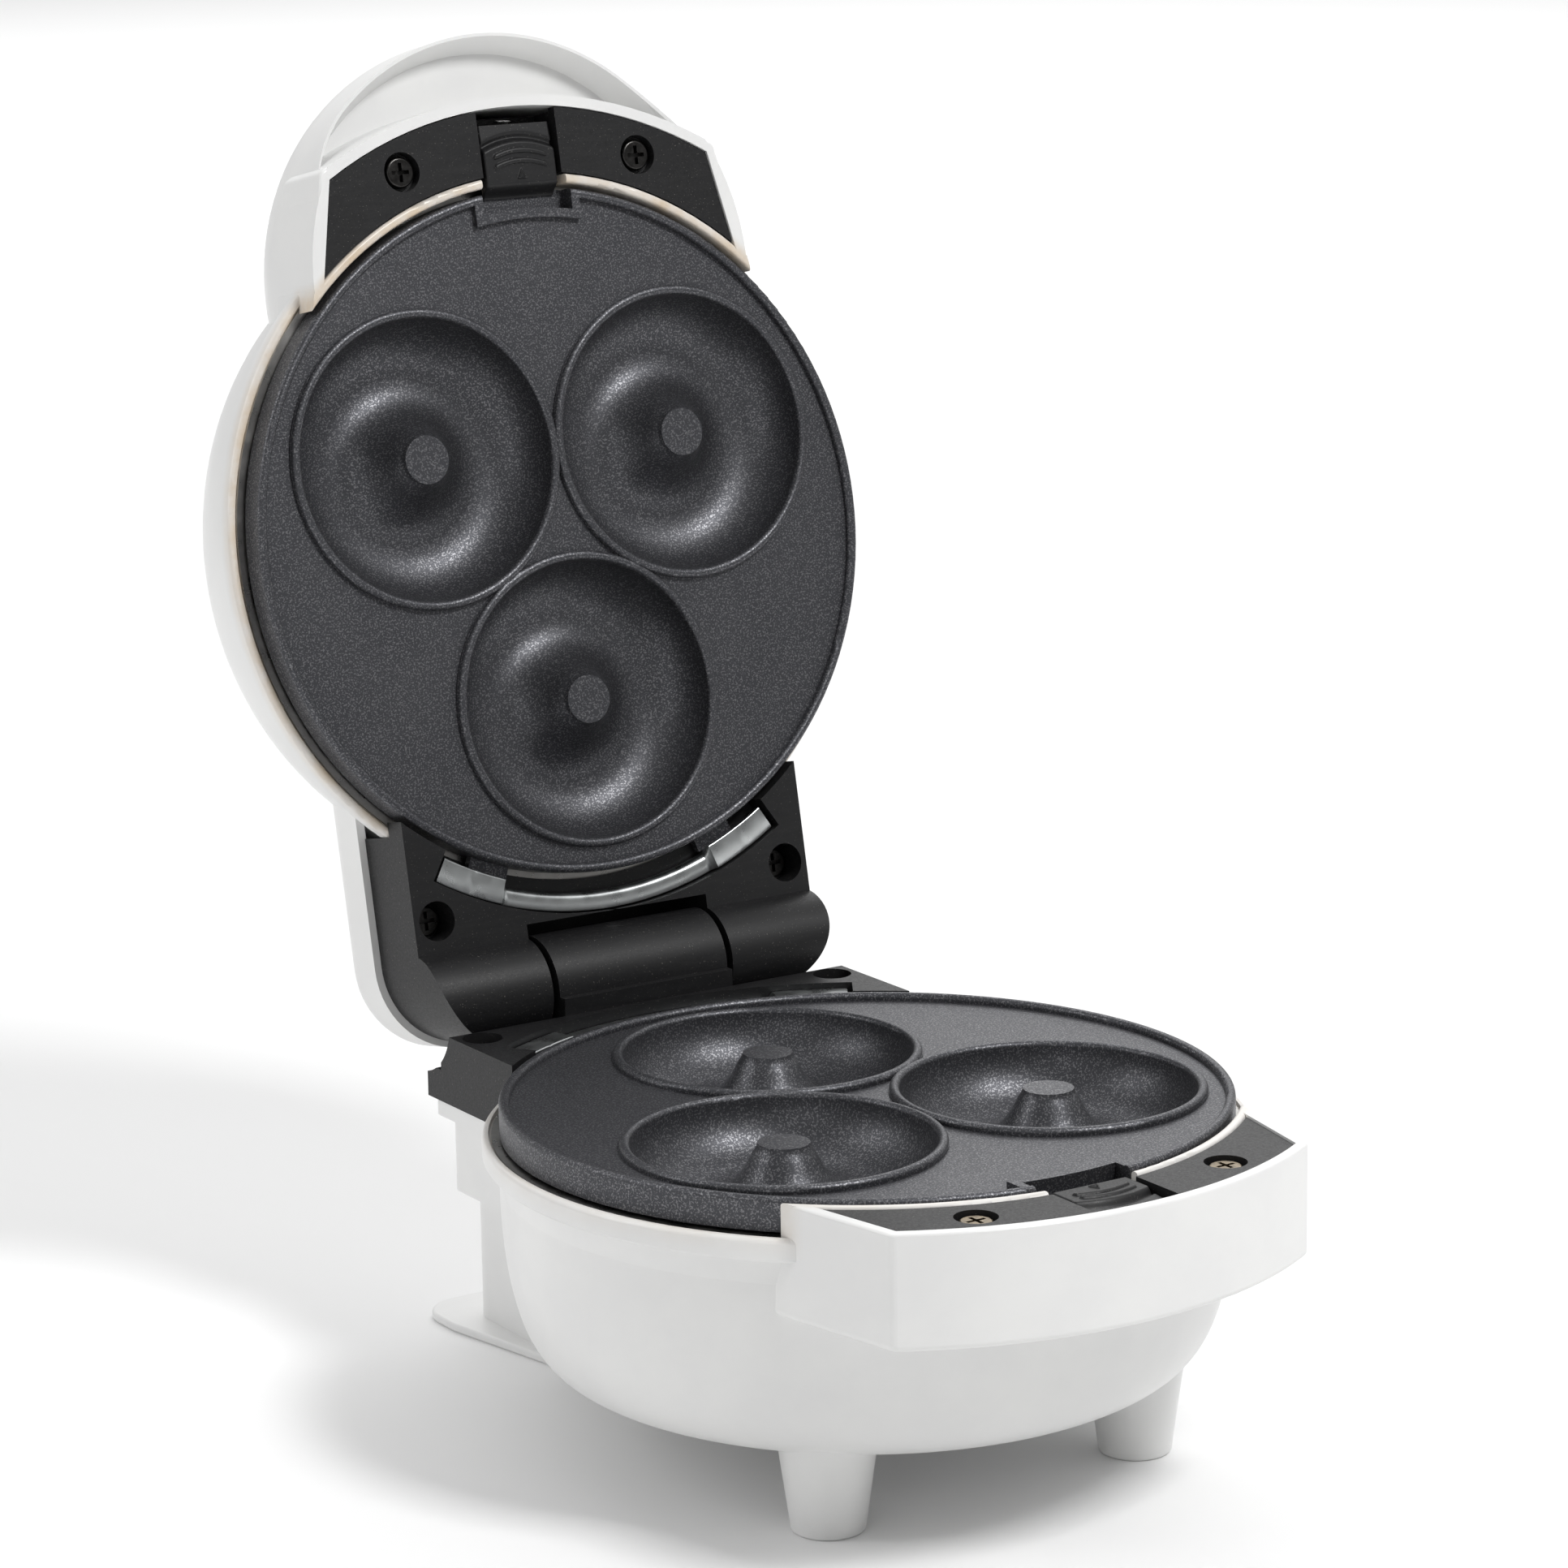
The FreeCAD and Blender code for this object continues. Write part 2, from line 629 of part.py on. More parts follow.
def insert_posts(bottom_z):
    return [disc(4.4, bottom_z, -FACE - INSERT_GAP - 5.0, side * INSERT_SCREW_X, INSERT_SCREW_Y)
            for side in (-1, 1)]


def make_base_shell():
    outer = turned(shell_profile(BOWL_DEPTH, BOWL_FULLNESS, 0))
    inner = turned(shell_profile(BOWL_DEPTH, BOWL_FULLNESS, WALL))
    inner = inner.fuse(disc(BODY_R - WALL, -LIP_BOTTOM - 0.5, 0))
    handle = handle_block(-HANDLE_DEPTH)
    handle = handle.cut(disc(STRIP_IN_R, -LIP_TOP - 3, 1))
    handle = handle.cut(disc(PAN_RIM_R + 0.3, -LIP_TOP - 3, -LIP_TOP - 0.3))
    housing_top = plan_outline(BLOCK_X - 0.4, 40, HOUSING_REAR_Y + 1, 4, -22, -BLOCK_DEPTH)
    housing_low = plan_outline(BLOCK_X - 2.6, 40, HOUSING_REAR_Y - 2.8, 5, -HOUSING_BOTTOM, -21.5)
    column = plan_outline(COLUMN_X, COLUMN_FRONT_Y, COLUMN_Y, 9, -FLANGE_TOP, -BLOCK_DEPTH)
    feet = []
    for side in (-1, 1):
        foot = Part.makeCone(FOOT_R, FOOT_TOP_R, 26, V(side * FOOT_X, FOOT_Y, FLOOR_Z), Z_AXIS)
        foot = foot.makeFillet(0.8, [edge for edge in foot.Edges if edge.BoundBox.ZMax < FLOOR_Z + 0.1])
        feet.append(foot)
    shell = outer.fuse([handle, housing_top, housing_low, column] + feet)
    column_hollow = plan_outline(COLUMN_X - 2.6, COLUMN_FRONT_Y + 8, COLUMN_Y - 2.6, 6.5, -FLANGE_TOP - 1,
                                 -HOUSING_BOTTOM + WALL)
    housing_hollow = plan_outline(BLOCK_X - 5.2, 60, HOUSING_REAR_Y - 5.4, 3, -HOUSING_BOTTOM + WALL,
                                  -BLOCK_DEPTH - WALL)
    rear_room = column_hollow.fuse(housing_hollow).cut(turned(shell_profile(BOWL_DEPTH, BOWL_FULLNESS, 0)))
    shell = shell.cut(rear_room)
    shell = shell.cut(inner)
    shell = shell.fuse(shell_lip())
    shell = shell.cut(pocket_prism(0, -HANDLE_DEPTH + WALL, 1))
    shell = shell.fuse(strip_guard(-LIP_TOP - 0.3, -FACE))
    mouth = ring(STRIP_IN_R - 0.5, STRIP_OUT_R + 4, -6.6, 1)
    shell = shell.cut(mouth.common(box(-STRIP_END_X, STRIP_END_X, -130, -60, -10, 2)))
    shell = round_strips(shell)
    shell = shell.fuse(insert_posts(-HANDLE_DEPTH + 1))
    room = turned(shell_profile(BOWL_DEPTH, BOWL_FULLNESS, 0.8))
    shell = shell.fuse(screw_posts(-BOWL_DEPTH, room))
    shell = drill_posts(shell)
    for side in (-1, 1):
        x = side * HINGE_SCREW_X
        shell = shell.fuse(disc(3.8, -31, -BLOCK_DEPTH - 0.5, x, HINGE_SCREW_Y))
        shell = shell.cut(disc(1.75, -29, -BLOCK_DEPTH + 1, x, HINGE_SCREW_Y))
        shell = shell.cut(disc(1.75, -14, 0, side * INSERT_SCREW_X, INSERT_SCREW_Y))
        post = disc(4.0, -FLANGE_TOP, -60, side * 22, 108)
        rib = box(side * 22 - 1.2, side * 22 + 1.2, 108, COLUMN_Y - 1, -FLANGE_TOP, -60)
        shell = shell.fuse(post.fuse(rib))
        shell = shell.cut(disc(1.5, -FLANGE_TOP - 1, -70, side * 22, 108))
    window = box(-20, 20, 60, 92, -58, -44)
    shell = shell.cut(window.cut(disc(60, -70, -30)))
    shell = shell.cut(rod(5.0, V(0, 110, GLAND_Z), V(0, 140, GLAND_Z)))
    return shell.removeSplitter()


def make_lid_shell():
    """Built facing up like the base, with the handle's visor, and mirrored by the caller."""
    outer = turned(shell_profile(DOME_TOP, DOME_FULLNESS, 0))
    inner = turned(shell_profile(DOME_TOP, DOME_FULLNESS, WALL))
    inner = inner.fuse(disc(BODY_R - WALL, -LIP_BOTTOM - 0.5, 0))
    visor = disc(VISOR_R, -VISOR_TOP, -FACE, 0, VISOR_Y)
    visor = visor.makeFillet(16, [edge for edge in visor.Edges if edge.BoundBox.ZMax < -VISOR_TOP + 0.1])
    border = handle_block(-VISOR_TOP + 18)
    handle = visor.fuse(border)
    crescent = disc(BORDER_R, -SCOOP_Z - 5, 5)
    scoop = Part.makeCone(VISOR_IN_R, VISOR_R - 0.8, SCOOP_Z - VISOR_EDGE_Z, V(0, VISOR_Y, -SCOOP_Z), Z_AXIS)
    scoop = scoop.fuse(disc(VISOR_R - 0.8, -VISOR_EDGE_Z, 1, 0, VISOR_Y)).cut(crescent)
    arch = Part.Wire([
        line(V(-58, -140, 2), V(-58, -140, -1.0)),
        arc(V(-58, -140, -1.0), V(-50, -140, -9.5), V(-41, -140, -VISOR_EDGE_Z)),
        line(V(-41, -140, -VISOR_EDGE_Z), V(41, -140, -VISOR_EDGE_Z)),
        arc(V(41, -140, -VISOR_EDGE_Z), V(50, -140, -9.5), V(58, -140, -1.0)),
        line(V(58, -140, -1.0), V(58, -140, 2)),
        line(V(58, -140, 2), V(-58, -140, 2)),
    ])
    arch_cut = Part.Face(arch).extrude(V(0, 80, 0)).cut(crescent)
    handle = handle.cut(scoop.common(arch_scoop_room())).cut(arch_cut)
    handle = handle.cut(disc(STRIP_IN_R, -LIP_TOP - 3, 1))
    handle = handle.cut(disc(PAN_RIM_R + 0.3, -LIP_TOP - 3, -LIP_TOP - 0.3))
    rear = plan_outline(REAR_X, 40, REAR_Y, COVER_CORNER + 1, -REAR_TOP, -COVER_DEPTH - 0.3)
    rear = rear.makeFillet(7, [edge for edge in rear.Edges if edge.BoundBox.ZMax < -REAR_TOP + 0.1
                               and edge.BoundBox.YMax > 45])
    shell = outer.fuse([handle, rear])
    rear_room = plan_outline(REAR_X - WALL, 45, REAR_Y - WALL, COVER_CORNER - 1, -REAR_TOP + WALL,
                             -COVER_DEPTH + 1)
    rear_room = rear_room.cut(disc(BODY_R, -60, 0))
    visor_room = disc(VISOR_R - WALL - 6, -VISOR_TOP + WALL + 1, -SCOOP_Z - WALL, 0, VISOR_Y)
    shell = shell.cut(rear_room).cut(visor_room).cut(inner)
    shell = shell.fuse(shell_lip())
    shell = shell.cut(pocket_prism(0, -SCOOP_Z - 3, 1))
    shell = shell.fuse(strip_guard(-LIP_TOP - 0.3, -FACE))
    mouth = ring(STRIP_IN_R - 0.5, STRIP_OUT_R + 4, -6.6, 1)
    shell = shell.cut(mouth.common(box(-STRIP_END_X, STRIP_END_X, -130, -60, -10, 2)))
    shell = round_strips(shell)
    shell = shell.fuse(insert_posts(-VISOR_TOP + 2))
    room = turned(shell_profile(DOME_TOP, DOME_FULLNESS, 0.8))
    shell = shell.fuse(screw_posts(-DOME_TOP, room))
    shell = drill_posts(shell)
    for side in (-1, 1):
        x = side * HINGE_SCREW_X
        shell = shell.fuse(disc(3.8, -REAR_TOP + 1, -COVER_DEPTH, x, HINGE_SCREW_Y))
        shell = shell.cut(disc(1.75, -COVER_DEPTH - 8, 0, x, HINGE_SCREW_Y))
        shell = shell.cut(disc(1.75, -14, 0, side * INSERT_SCREW_X, INSERT_SCREW_Y))
        shell = shell.cut(disc(3.1, -60, -45, side * LAMP_X, LAMP_Y))
    cable_window = box(-20, 20, 60, 92, -36, -26).cut(disc(60, -70, -20))
    shell = shell.cut(cable_window)
    return shell.removeSplitter()


def arch_scoop_room():
    return box(-58, 58, -140, -60, -SCOOP_Z - 1, 5)


# ---- lid: hinge cover with two knuckles --------------------------------------------------
def make_hinge_cover():
    """Built in the closed lid's own place: its face at Z = FACE, its back at COVER_DEPTH."""
    plan = plan_outline(BLOCK_X, 60, COVER_REAR_Y, COVER_CORNER, FACE, COVER_DEPTH)
    tall = plan_outline(BLOCK_X, 60, COVER_REAR_Y, COVER_CORNER, -30, COVER_DEPTH)
    wall = 2.6
    hollow = plan_outline(BLOCK_X - wall, 50, COVER_REAR_Y - wall, COVER_CORNER - wall, FACE + 7.5,
                          COVER_DEPTH + 1)
    hollow = hollow.cut(hinge_rod(BARREL_R + 2, -70, 70))
    hollow = hollow.cut(box(-SLOT_X - 2, SLOT_X + 2, SLOT_Y - 2.5, 140, -5, 30))
    cover = plan.cut(hollow)
    cover = cover.cut(hinge_rod(BARREL_R + 0.9, -SLOT_X, SLOT_X))
    slot = box(-SLOT_X, SLOT_X, SLOT_Y, 140, -30, COVER_DEPTH - 2.4)
    knuckles = []
    for side in (-1, 1):
        knuckle = hinge_rod(BARREL_R, side * KNUCKLE_X, side * (BLOCK_X + 2)).common(tall)
        knuckles.append(knuckle)
    cover = joined([cover] + knuckles).cut(slot)
    cover = cover.cut(box(-0.8, 0.8, SLOT_Y - 2, SLOT_Y + 1, -1, 8))
    cover = flipped(block_recesses(flipped(cover)))
    for side in (-1, 1):
        cover = cover.cut(hinge_rod(PIN_R + RUNNING, side * (KNUCKLE_X - 1), side * (PIN_X + 0.5)))
        x = side * HINGE_SCREW_X
        post = disc(6.6, FACE + 1, COVER_DEPTH, x, HINGE_SCREW_Y).common(plan)
        cover = cover.fuse(post.cut(disc(BODY_R + 3.5, -10, 60)))
        cover = cover.cut(disc(HEAD_HOLE_R, -5, 9, x, HINGE_SCREW_Y))
        cover = cover.cut(disc(1.95, -5, 40, x, HINGE_SCREW_Y))
    return cover.removeSplitter()


# ---- small parts -------------------------------------------------------------------------
def make_thermostat():
    body = disc(8.0, -PAN_DEPTH - SHEET - 8.2, -PAN_DEPTH - SHEET, 0, 36)
    cap = disc(5.4, -PAN_DEPTH - SHEET - 10, -PAN_DEPTH - SHEET - 8, 0, 36)
    tabs = [box(side * 4 - 0.4, side * 4 + 0.4, 34, 38, -PAN_DEPTH - SHEET - 15, -PAN_DEPTH - SHEET - 9)
            for side in (-1, 1)]
    return joined([body, cap] + tabs)


def make_thermal_fuse():
    sleeve = rod(2.2, V(24, 30, -PAN_DEPTH - SHEET - 2.6), V(24, 52, -PAN_DEPTH - SHEET - 2.6))
    clip = box(21, 27, 38, 44, -PAN_DEPTH - SHEET - 5.4, -PAN_DEPTH - SHEET)
    return joined([sleeve, clip])


def make_terminal_block():
    block = box(-14, 14, 96, 106, -56, -46)
    for x in (-8, 0, 8):
        block = block.cut(disc(2.0, -50, -40, x, 101))
    return block


def make_base_wires():
    leg_y = math.sqrt(ELEMENT_RING ** 2 - ELEMENT_GAP ** 2)
    low = -52.0
    runs = [
        [V(-8, 95.9, low), V(-12, 70, low), V(-ELEMENT_GAP, leg_y, low),
         V(-ELEMENT_GAP, leg_y, -PIN_TIP - 0.1)],
        [V(0, 95.9, low), V(0, 60, low), V(-4, 36, low), V(-4, 36, -PAN_DEPTH - SHEET - 15.1)],
        [V(4, 36, -PAN_DEPTH - SHEET - 15.1), V(4, 36, -49), V(24, 34, -46), V(24, 29, -42),
         V(24, 29, -PAN_DEPTH - SHEET - 4.9)],
        [V(24, 53, -PAN_DEPTH - SHEET - 4.9), V(24, 53, -44), V(ELEMENT_GAP, leg_y, -46),
         V(ELEMENT_GAP, leg_y, -PIN_TIP - 0.1)],
    ]
    return [pipe(run, 1.0) for run in runs]


def make_lid_wires():
    leg_y = math.sqrt(ELEMENT_RING ** 2 - ELEMENT_GAP ** 2)
    top = PIN_TIP + 3.0
    runs = []
    for side in (-1, 1):
        runs.append([V(side * ELEMENT_GAP, leg_y, PIN_TIP + 0.1), V(side * ELEMENT_GAP, leg_y, top),
                     V(side * 10, 73, 43), V(side * 9, 82, 33.5), V(side * 9, 94, 30), V(side * 30, 97, 26)])
    return [pipe(run, 1.0) for run in runs]


def make_lamp_lens(side):
    seat = DOME_TOP + 0.1
    head = disc(4.4, seat, seat + 1.4, side * LAMP_X, LAMP_Y)
    head = head.makeFillet(0.9, [edge for edge in head.Edges if edge.BoundBox.ZMin > seat + 1.3])
    stem = disc(3.0, seat - 6.0, seat + 0.1, side * LAMP_X, LAMP_Y)
    bore = disc(2.2, seat - 7.0, seat - 1.0, side * LAMP_X, LAMP_Y)
    return head.fuse(stem).cut(bore)


def make_lamps():
    lamps = []
    for side in (-1, 1):
        glass = disc(1.8, DOME_TOP - 14.0, DOME_TOP - 3.0, side * LAMP_X, LAMP_Y)
        lamps.append(glass)
    return lamps


def make_gland():
    flange = rod(7.0, V(0, COLUMN_Y, GLAND_Z), V(0, COLUMN_Y + 2.4, GLAND_Z))
    flange = flange.makeFillet(1.0, [edge for edge in flange.Edges if edge.BoundBox.YMin > COLUMN_Y + 2.3])
    body = rod(5.0, V(0, COLUMN_Y - 6, GLAND_Z), V(0, COLUMN_Y + 1, GLAND_Z))
    return flange.fuse(body).cut(rod(3.6, V(0, COLUMN_Y - 10, GLAND_Z), V(0, COLUMN_Y + 10, GLAND_Z)))


def make_rear_foot():
    """The flat foot under the rear column; it also keeps a wound cord on the column."""
    outline = [(-38.5, COLUMN_FRONT_Y), (38.5, COLUMN_FRONT_Y), (47.6, 120), (47.6, 138.3),
               (-47.6, 138.3), (-47.6, 120)]
    foot = prism(outline, FLOOR_Z, -FLANGE_TOP)
    corners = []
    for edge in foot.Edges:
        bounds = edge.BoundBox
        if bounds.ZLength > 1 and bounds.XLength < 0.01:
            corners.append(edge)
    foot = foot.makeFillet(10, [edge for edge in corners if edge.BoundBox.YMin > 130])
    rim = [edge for edge in foot.Edges if edge.BoundBox.ZLength < 0.01]
    foot = foot.makeFillet(0.8, rim)
    tongue = box(-COLUMN_X + 8, COLUMN_X - 8, 96, COLUMN_Y - 4, -FLANGE_TOP, -FLANGE_TOP + 3)
    tongue = tongue.cut(disc(5.4, -90, -70, 22, 108)).cut(disc(5.4, -90, -70, -22, 108))
    for side in (-1, 1):
        tongue = tongue.cut(box(side * 22 - 1.6, side * 22 + 1.6, 108, 130, -90, -70))
    foot = foot.fuse(tongue)
    for side in (-1, 1):
        foot = foot.cut(disc(1.8, -90, -70, side * 22, 108))
        foot = foot.cut(disc(3.4, -90, FLOOR_Z + 1.3, side * 22, 108))
    return foot.removeSplitter()


def make_foot_screws():
    screws = []
    for side in (-1, 1):
        piece = screw(side * 22, 108, 0, 9, 3.1, 1.5, 1.1)
        piece.rotate(V(side * 22, 108, 0), X_AXIS, 180)
        piece.translate(V(0, 0, FLOOR_Z + 0.2))
        screws.append(piece)
    return screws


# ---- assembly ----------------------------------------------------------------------------
def solids_of(shape):
    return shape if isinstance(shape, list) else [shape]


def opened(shape):
    """A piece of the lid, turned from the closed lid's place to the open one."""
    pieces = []
    for solid in solids_of(shape):
        copy = solid.copy()
        copy.rotate(V(0, HINGE_Y, HINGE_Z), X_AXIS, -OPEN_ANGLE)
        pieces.append(copy)
    return pieces


def lid_twin(shape):
    """The lid's copy of a piece that base and lid share."""
    return opened([flipped(solid) for solid in solids_of(shape)])


def build():
    shared = {
        "plate": make_plate(),
        "reflector": make_reflector(),
        "heating_element": make_element(),
        "element_clips": make_element_clips(),
        "reflector_screws": make_reflector_screws(),
        "handle_insert": make_insert(),
        "insert_screws": make_insert_screws(),
        "latch": make_latch(),
        "latch_spring": make_latch_spring(),
        "bracket": make_bracket(),
    }
    nodes = {}
    for name, shape in shared.items():
        nodes["base_" + name] = solids_of(shape)
        nodes["lid_" + name] = lid_twin(shape)
    nodes["base_shell"] = [make_base_shell()]
    nodes["base_hinge_block"] = [make_hinge_block()]
    nodes["base_hinge_screws"] = make_hinge_screws()
    nodes["hinge_pin"] = [hinge_rod(PIN_R, -PIN_X, PIN_X)]
    nodes["rear_foot"] = [make_rear_foot()]
    nodes["rear_foot_screws"] = make_foot_screws()
    nodes["cord_gland"] = [make_gland()]
    nodes["terminal_block"] = [make_terminal_block()]
    nodes["thermostat"] = [make_thermostat()]
    nodes["thermal_fuse"] = [make_thermal_fuse()]
    nodes["base_wires"] = make_base_wires()
    nodes["lid_shell"] = lid_twin(make_lid_shell())
    nodes["lid_hinge_cover"] = opened(make_hinge_cover())
    nodes["lid_hinge_screws"] = lid_twin(make_hinge_screws())
    nodes["lid_wires"] = opened(make_lid_wires())
    nodes["power_lamp_lens"] = opened(make_lamp_lens(-1))
    nodes["ready_lamp_lens"] = opened(make_lamp_lens(1))
    nodes["lid_lamps"] = opened(make_lamps())
    return nodes


def main():
    os.makedirs("parts", exist_ok=True)
    for name, solids in build().items():
        shape = solids[0] if len(solids) == 1 else Part.makeCompound(solids)
        shape = shape.copy()
        shape.translate(V(0, -MIDDLE_Y, -FLOOR_Z))
        shape.exportStep("parts/" + name + ".step")


main()
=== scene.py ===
"""Donut maker, open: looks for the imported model.  Metres, in the row frame of the part."""
import bpy
import bmesh
import json
import math
from mathutils import Matrix, Vector


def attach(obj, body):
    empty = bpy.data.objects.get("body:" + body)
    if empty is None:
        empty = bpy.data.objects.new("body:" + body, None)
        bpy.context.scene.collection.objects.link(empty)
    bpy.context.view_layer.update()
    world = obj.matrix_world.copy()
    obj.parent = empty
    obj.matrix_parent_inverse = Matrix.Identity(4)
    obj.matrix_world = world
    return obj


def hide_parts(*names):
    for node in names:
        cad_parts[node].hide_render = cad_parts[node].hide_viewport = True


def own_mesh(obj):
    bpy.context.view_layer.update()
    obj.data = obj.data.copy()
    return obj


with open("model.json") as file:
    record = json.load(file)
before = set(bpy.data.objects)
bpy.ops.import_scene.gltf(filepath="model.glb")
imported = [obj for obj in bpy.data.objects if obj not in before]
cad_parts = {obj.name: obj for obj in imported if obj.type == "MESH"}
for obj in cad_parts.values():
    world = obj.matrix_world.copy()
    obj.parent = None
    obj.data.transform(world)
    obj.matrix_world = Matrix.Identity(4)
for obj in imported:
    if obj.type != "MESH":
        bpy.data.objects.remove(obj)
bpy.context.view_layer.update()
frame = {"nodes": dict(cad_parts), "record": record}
NODES = frame["nodes"]

# The plate frame: millimetres about the axis of the lower plate, Z = 0 at its rim.
MIDDLE_Y = 42.965
FLOOR_Z = -85.3
HINGE_Y = 113.3
HINGE_Z = 3.9
OPEN_ANGLE = 101.6
MM = 0.001


def row(x, y, z):
    """A point of the plate frame, in metres in the row frame."""
    return Vector((x * MM, (y - MIDDLE_Y) * MM, (z - FLOOR_Z) * MM))


TO_ROW = Matrix.Translation(row(0, 0, 0)) @ Matrix.Scale(MM, 4)
SWING = (Matrix.Translation((0, HINGE_Y, HINGE_Z)) @ Matrix.Rotation(math.radians(-OPEN_ANGLE), 4, "X")
         @ Matrix.Translation((0, -HINGE_Y, -HINGE_Z)))
LID_TO_ROW = TO_ROW @ SWING


# ---- node helpers --------------------------------------------------------------------------
class Shade:
    """A material with a Principled shader and a few short ways to add nodes to it."""

    def __init__(self, name, space=None):
        self.material = bpy.data.materials.new(name)
        self.material.use_nodes = True
        self.tree = self.material.node_tree
        self.tree.nodes.clear()
        self.out = self.tree.nodes.new("ShaderNodeOutputMaterial")
        self.bsdf = self.tree.nodes.new("ShaderNodeBsdfPrincipled")
        self.tree.links.new(self.bsdf.outputs[0], self.out.inputs[0])
        coord = self.tree.nodes.new("ShaderNodeTexCoord")
        self.place = coord.outputs["Object"]
        if space is not None:
            self.place = self.mapped(space)

    def mapped(self, space):
        """Object coordinates turned into another frame, in millimetres."""
        inverse = space.inverted()
        rows = []
        for index in range(3):
            dot = self.node("ShaderNodeVectorMath", operation="DOT_PRODUCT")
            self.link(self.place, dot.inputs[0])
            dot.inputs[1].default_value = inverse[index][:3]
            add = self.math("ADD", dot.outputs["Value"], inverse[index][3])
            rows.append(add)
        combine = self.node("ShaderNodeCombineXYZ")
        for index in range(3):
            self.link(rows[index], combine.inputs[index])
        return combine.outputs[0]

    def node(self, kind, **values):
        item = self.tree.nodes.new(kind)
        for key, value in values.items():
            setattr(item, key, value)
        return item

    def link(self, a, b):
        self.tree.links.new(a, b)

    def put(self, value, socket):
        if isinstance(value, bpy.types.NodeSocket):
            self.link(value, socket)
        else:
            socket.default_value = value

    def set(self, **values):
        for key, value in values.items():
            socket = self.bsdf.inputs[key.replace("_", " ")]
            self.put(value, socket)

    def math(self, operation, a, b=0.0):
        item = self.node("ShaderNodeMath", operation=operation)
        self.put(a, item.inputs[0])
        self.put(b, item.inputs[1])
        return item.outputs[0]

    def noise(self, scale, detail=3.0, rough=0.5, stretch=None):
        item = self.node("ShaderNodeTexNoise")
        vector = self.place
        if stretch is not None:
            scaled = self.node("ShaderNodeVectorMath", operation="MULTIPLY")
            self.link(vector, scaled.inputs[0])
            scaled.inputs[1].default_value = stretch
            vector = scaled.outputs[0]
        self.link(vector, item.inputs["Vector"])
        item.inputs["Scale"].default_value = scale
        item.inputs["Detail"].default_value = detail
        item.inputs["Roughness"].default_value = rough
        return item.outputs["Fac"]

    def ramp(self, value, low, high, a=0.0, b=1.0):
        """Smooth step of a value from low..high to a..b."""
        item = self.node("ShaderNodeMapRange", interpolation_type="SMOOTHSTEP")
        self.put(value, item.inputs["Value"])
        item.inputs["From Min"].default_value = low
        item.inputs["From Max"].default_value = high
        item.inputs["To Min"].default_value = a
        item.inputs["To Max"].default_value = b
        return item.outputs["Result"]

    def mix(self, fac, a, b):
        item = self.node("ShaderNodeMix", data_type="RGBA")
        self.put(fac, item.inputs["Factor"])
        self.put(a if isinstance(a, bpy.types.NodeSocket) else (*a, 1.0), item.inputs["A"])
        self.put(b if isinstance(b, bpy.types.NodeSocket) else (*b, 1.0), item.inputs["B"])
        return item.outputs["Result"]

    def bump(self, height, distance, strength=1.0, normal=None):
        item = self.node("ShaderNodeBump")
        item.inputs["Strength"].default_value = strength
        item.inputs["Distance"].default_value = distance
        self.link(height, item.inputs["Height"])
        if normal is not None:
            self.link(normal, item.inputs["Normal"])
        return item.outputs[0]

    def split(self):
        item = self.node("ShaderNodeSeparateXYZ")
        self.link(self.place, item.inputs[0])
        return item.outputs

    def radius(self, x, y):
        return self.math("SQRT", self.math("ADD", self.math("MULTIPLY", x, x), self.math("MULTIPLY", y, y)))


# ---- materials -------------------------------------------------------------------------------
def white_plastic(name, space, stain_side):
    """Glossy white moulding, yellowed by heat where it meets the plate."""
    m = Shade(name, space)
    x, y, z = m.split()
    r = m.radius(x, y)
    tint = m.noise(0.035, 4.0, 0.6)
    base = m.mix(m.ramp(tint, 0.35, 0.7), (0.77, 0.77, 0.765), (0.80, 0.80, 0.79))
    near_rim = m.ramp(r, 93.0, 89.2)
    depth = m.math("ABSOLUTE", z)
    shallow = m.ramp(depth, 13.5, 8.5)
    patch = m.ramp(m.noise(0.09, 4.0, 0.65), 0.25, 0.75, 0.35, 1.0)
    heat = m.math("MULTIPLY", m.math("MULTIPLY", near_rim, shallow), patch)
    heat = m.math("MULTIPLY", heat, stain_side)
    base = m.mix(heat, base, (0.62, 0.50, 0.36))
    m.set(Base_Color=base, IOR=1.5, Roughness=m.ramp(m.noise(0.03, 2.0), 0.3, 0.7, 0.30, 0.33))
    return m.material


def nonstick(name, space):
    """Dark non-stick coating with a fine sparkle."""
    m = Shade(name, space)
    fleck = m.noise(2.2, 1.0, 0.6)
    flake = m.ramp(fleck, 0.50, 0.68)
    broad = m.ramp(m.noise(0.05, 3.0), 0.3, 0.7)
    base = m.mix(broad, (0.062, 0.063, 0.070), (0.070, 0.071, 0.078))
    base = m.mix(flake, base, (0.195, 0.195, 0.205))
    m.set(Base_Color=base, Metallic=0.82, IOR=1.6)
    m.set(Roughness=m.ramp(fleck, 0.35, 0.75, 0.48, 0.42))
    m.set(Normal=m.bump(m.noise(2.4, 1.0, 0.6), 0.06 * MM, 0.15))
    return m.material


